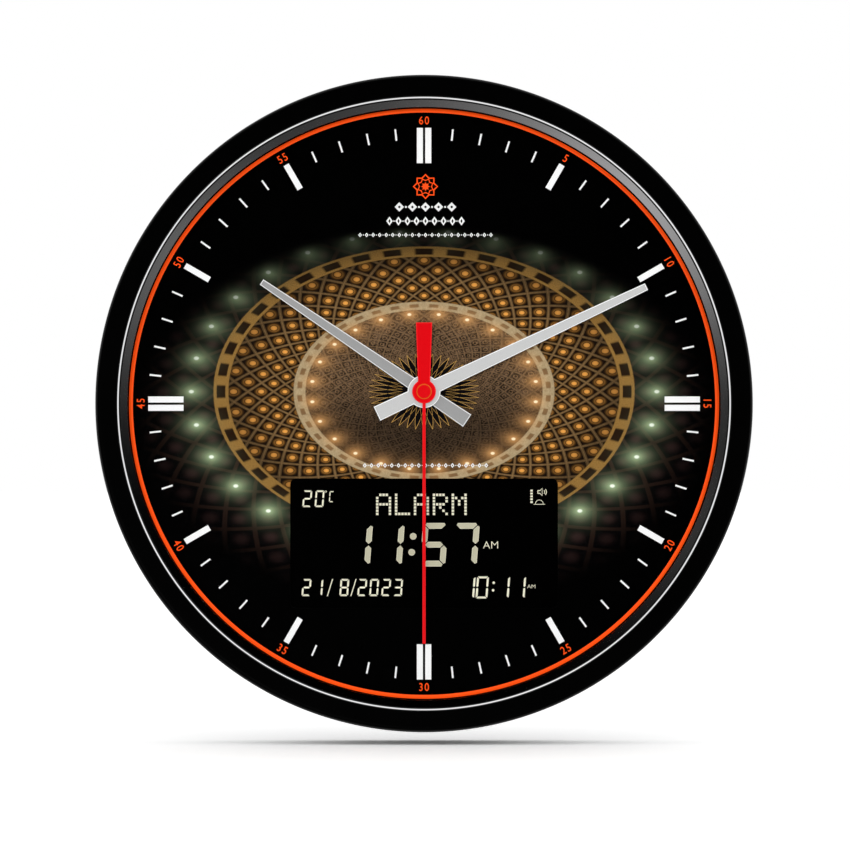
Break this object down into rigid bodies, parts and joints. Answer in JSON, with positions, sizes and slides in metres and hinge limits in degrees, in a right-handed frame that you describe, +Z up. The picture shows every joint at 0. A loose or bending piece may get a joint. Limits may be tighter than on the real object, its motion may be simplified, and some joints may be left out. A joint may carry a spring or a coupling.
{
  "type": "azan clock",
  "caption": "Round wall clock: baton hands over a dark dial with white bars, a liquid crystal display in the lower dial, and a loudspeaker, cells and push buttons at the back.",
  "frame": {"origin": "centre of the round case on the wall plane", "axes": "+Y into the wall, so the dial faces -Y; +Z up; +X to the right of someone who reads the dial"},
  "size_m": [0.32, 0.042, 0.32],
  "materials": {
    "frame_black": "smooth black",
    "polished_trim": "polished",
    "bezel_satin": "satin grey",
    "spacer_black": "moulded",
    "accent_orange": "satin",
    "dial_print": "printed",
    "mark_white": "satin white",
    "hand_light": "brushed",
    "hand_grey": "brushed",
    "hand_red": "red lacquer",
    "lens_clear": "clear",
    "display_dark": "dark display glass",
    "diffuser_white": "milky",
    "holder_black": "moulded",
    "board_green": "solder mask",
    "chip_black": "moulded",
    "back_black": "fine texture",
    "steel_plated": "plated",
    "brass_turned": "turned",
    "rubber_black": "soft",
    "ferrite": "sintered",
    "cone_paper": "pressed",
    "copper_wire": "enamelled wire",
    "gear_plastic": "moulded",
    "movement_black": "moulded",
    "cell_wrap": "printed sleeve",
    "button_grey": "moulded",
    "epoxy_bead": "dipped"
  },
  "bodies": {
    "case": {"front_frame": "frame_black", "bezel_trim": "polished_trim", "lens": "lens_clear", "inner_bezel": "bezel_satin", "spacer_ring": "spacer_black", "accent_ring": "accent_orange", "dial_plate": "dial_print", "hour_batons": "mark_white", "minute_ticks": "mark_white", "lcd_glass": "display_dark", "lcd_backlight": "diffuser_white", "lcd_frame": "holder_black", "zebra_strip": "rubber_black", "main_board": "board_green", "board_chips": "chip_black", "board_screws": "steel_plated", "tact_switches": "chip_black", "temperature_sensor": "epoxy_bead", "speaker_frame": "steel_plated", "speaker_magnet": "ferrite", "speaker_cone": "cone_paper", "back_cover": "back_black", "cover_screws": "steel_plated", "hanger_plate": "steel_plated", "hanger_screws": "steel_plated", "battery_contacts": "steel_plated", "contact_springs": "steel_plated", "main_cells": "cell_wrap", "movement_case_front": "movement_black", "movement_case_back": "movement_black", "train_plate": "gear_plastic", "threaded_bushing": "brass_turned", "hex_nut": "brass_turned", "rubber_washer": "rubber_black", "motor_stator": "steel_plated", "coil_bobbin": "gear_plastic", "motor_coil": "copper_wire", "movement_board": "board_green", "movement_cell": "cell_wrap", "movement_contacts": "steel_plated"},
    "second_hand_set": {"second_hand": "hand_red", "seconds_arbor": "gear_plastic"},
    "minute_hand_set": {"minute_hand": "hand_light", "minute_arbor": "brass_turned"},
    "hour_hand_set": {"hour_hand": "hand_grey", "hour_wheel": "gear_plastic"},
    "rotor": {"motor_rotor": "gear_plastic"},
    "intermediate_gear": {"intermediate_wheel": "gear_plastic"},
    "third_gear": {"third_wheel": "gear_plastic"},
    "centre_gear": {"centre_wheel": "gear_plastic"},
    "minute_gear": {"minute_wheel": "gear_plastic"},
    "setting_shaft": {"setting_knob": "gear_plastic"},
    "battery_lid": {"battery_door": "back_black"},
    "mode_key": {"mode_button": "button_grey"},
    "set_key": {"set_button": "button_grey"},
    "up_key": {"up_button": "button_grey"},
    "down_key": {"down_button": "button_grey"},
    "sound_key": {"sound_button": "button_grey"}
  },
  "joints": [
    {"name": "second_hand_turn", "type": "hinge", "parent": "case", "child": "second_hand_set", "pos_m": [0, 0, 0.0059], "axis": [0, 1, 0], "continuous": true},
    {"name": "rotor_turn", "type": "hinge", "parent": "case", "child": "rotor", "pos_m": [0.01366, 0, 0.00715], "axis": [0, 1, 0], "continuous": true},
    {"name": "intermediate_turn", "type": "hinge", "parent": "case", "child": "intermediate_gear", "pos_m": [0.00677, 0, 0.00836], "axis": [0, 1, 0], "continuous": true},
    {"name": "third_wheel_turn", "type": "hinge", "parent": "case", "child": "third_gear", "pos_m": [-0.00696, 0, 0.00102], "axis": [0, 1, 0], "continuous": true},
    {"name": "centre_wheel_turn", "type": "hinge", "parent": "case", "child": "centre_gear", "pos_m": [0, 0, 0.0059], "axis": [0, 1, 0], "continuous": true},
    {"name": "minute_hand_turn", "type": "hinge", "parent": "case", "child": "minute_hand_set", "pos_m": [0, 0, 0.0059], "axis": [0, 1, 0], "continuous": true},
    {"name": "hour_hand_turn", "type": "hinge", "parent": "case", "child": "hour_hand_set", "pos_m": [0, 0, 0.0059], "axis": [0, 1, 0], "continuous": true},
    {"name": "minute_wheel_turn", "type": "hinge", "parent": "case", "child": "minute_gear", "pos_m": [0, 0, 0.01502], "axis": [0, 1, 0], "continuous": true},
    {"name": "setting_knob_turn", "type": "hinge", "parent": "case", "child": "setting_shaft", "pos_m": [0.00857, 0, 0.01814], "axis": [0, 1, 0], "continuous": true},
    {"name": "battery_door_swing", "type": "hinge", "parent": "case", "child": "battery_lid", "pos_m": [-0.1035, -0.00325, 0.006], "axis": [0, 0, 1], "range_deg": [0, 100]},
    {"name": "mode_button_press", "type": "slide", "parent": "case", "child": "mode_key", "axis": [0, -1, 0], "range_m": [0, 0.0008], "stiffness_N_per_m": 800, "springref_m": -0.0006},
    {"name": "set_button_press", "type": "slide", "parent": "case", "child": "set_key", "axis": [0, -1, 0], "range_m": [0, 0.0008], "stiffness_N_per_m": 800, "springref_m": -0.0006},
    {"name": "up_button_press", "type": "slide", "parent": "case", "child": "up_key", "axis": [0, -1, 0], "range_m": [0, 0.0008], "stiffness_N_per_m": 800, "springref_m": -0.0006},
    {"name": "down_button_press", "type": "slide", "parent": "case", "child": "down_key", "axis": [0, -1, 0], "range_m": [0, 0.0008], "stiffness_N_per_m": 800, "springref_m": -0.0006},
    {"name": "sound_button_press", "type": "slide", "parent": "case", "child": "sound_key", "axis": [0, -1, 0], "range_m": [0, 0.0008], "stiffness_N_per_m": 800, "springref_m": -0.0006}
  ],
  "couplings": [
    {"joint": "rotor_turn", "follows": "second_hand_turn", "ratio": 30},
    {"joint": "intermediate_turn", "follows": "second_hand_turn", "ratio": -5},
    {"joint": "third_wheel_turn", "follows": "second_hand_turn", "ratio": -0.13333},
    {"joint": "centre_wheel_turn", "follows": "second_hand_turn", "ratio": 0.016667},
    {"joint": "hour_hand_turn", "follows": "minute_hand_turn", "ratio": 0.083333},
    {"joint": "minute_wheel_turn", "follows": "minute_hand_turn", "ratio": -0.33333},
    {"joint": "setting_knob_turn", "follows": "minute_hand_turn", "ratio": 1}
  ]
}
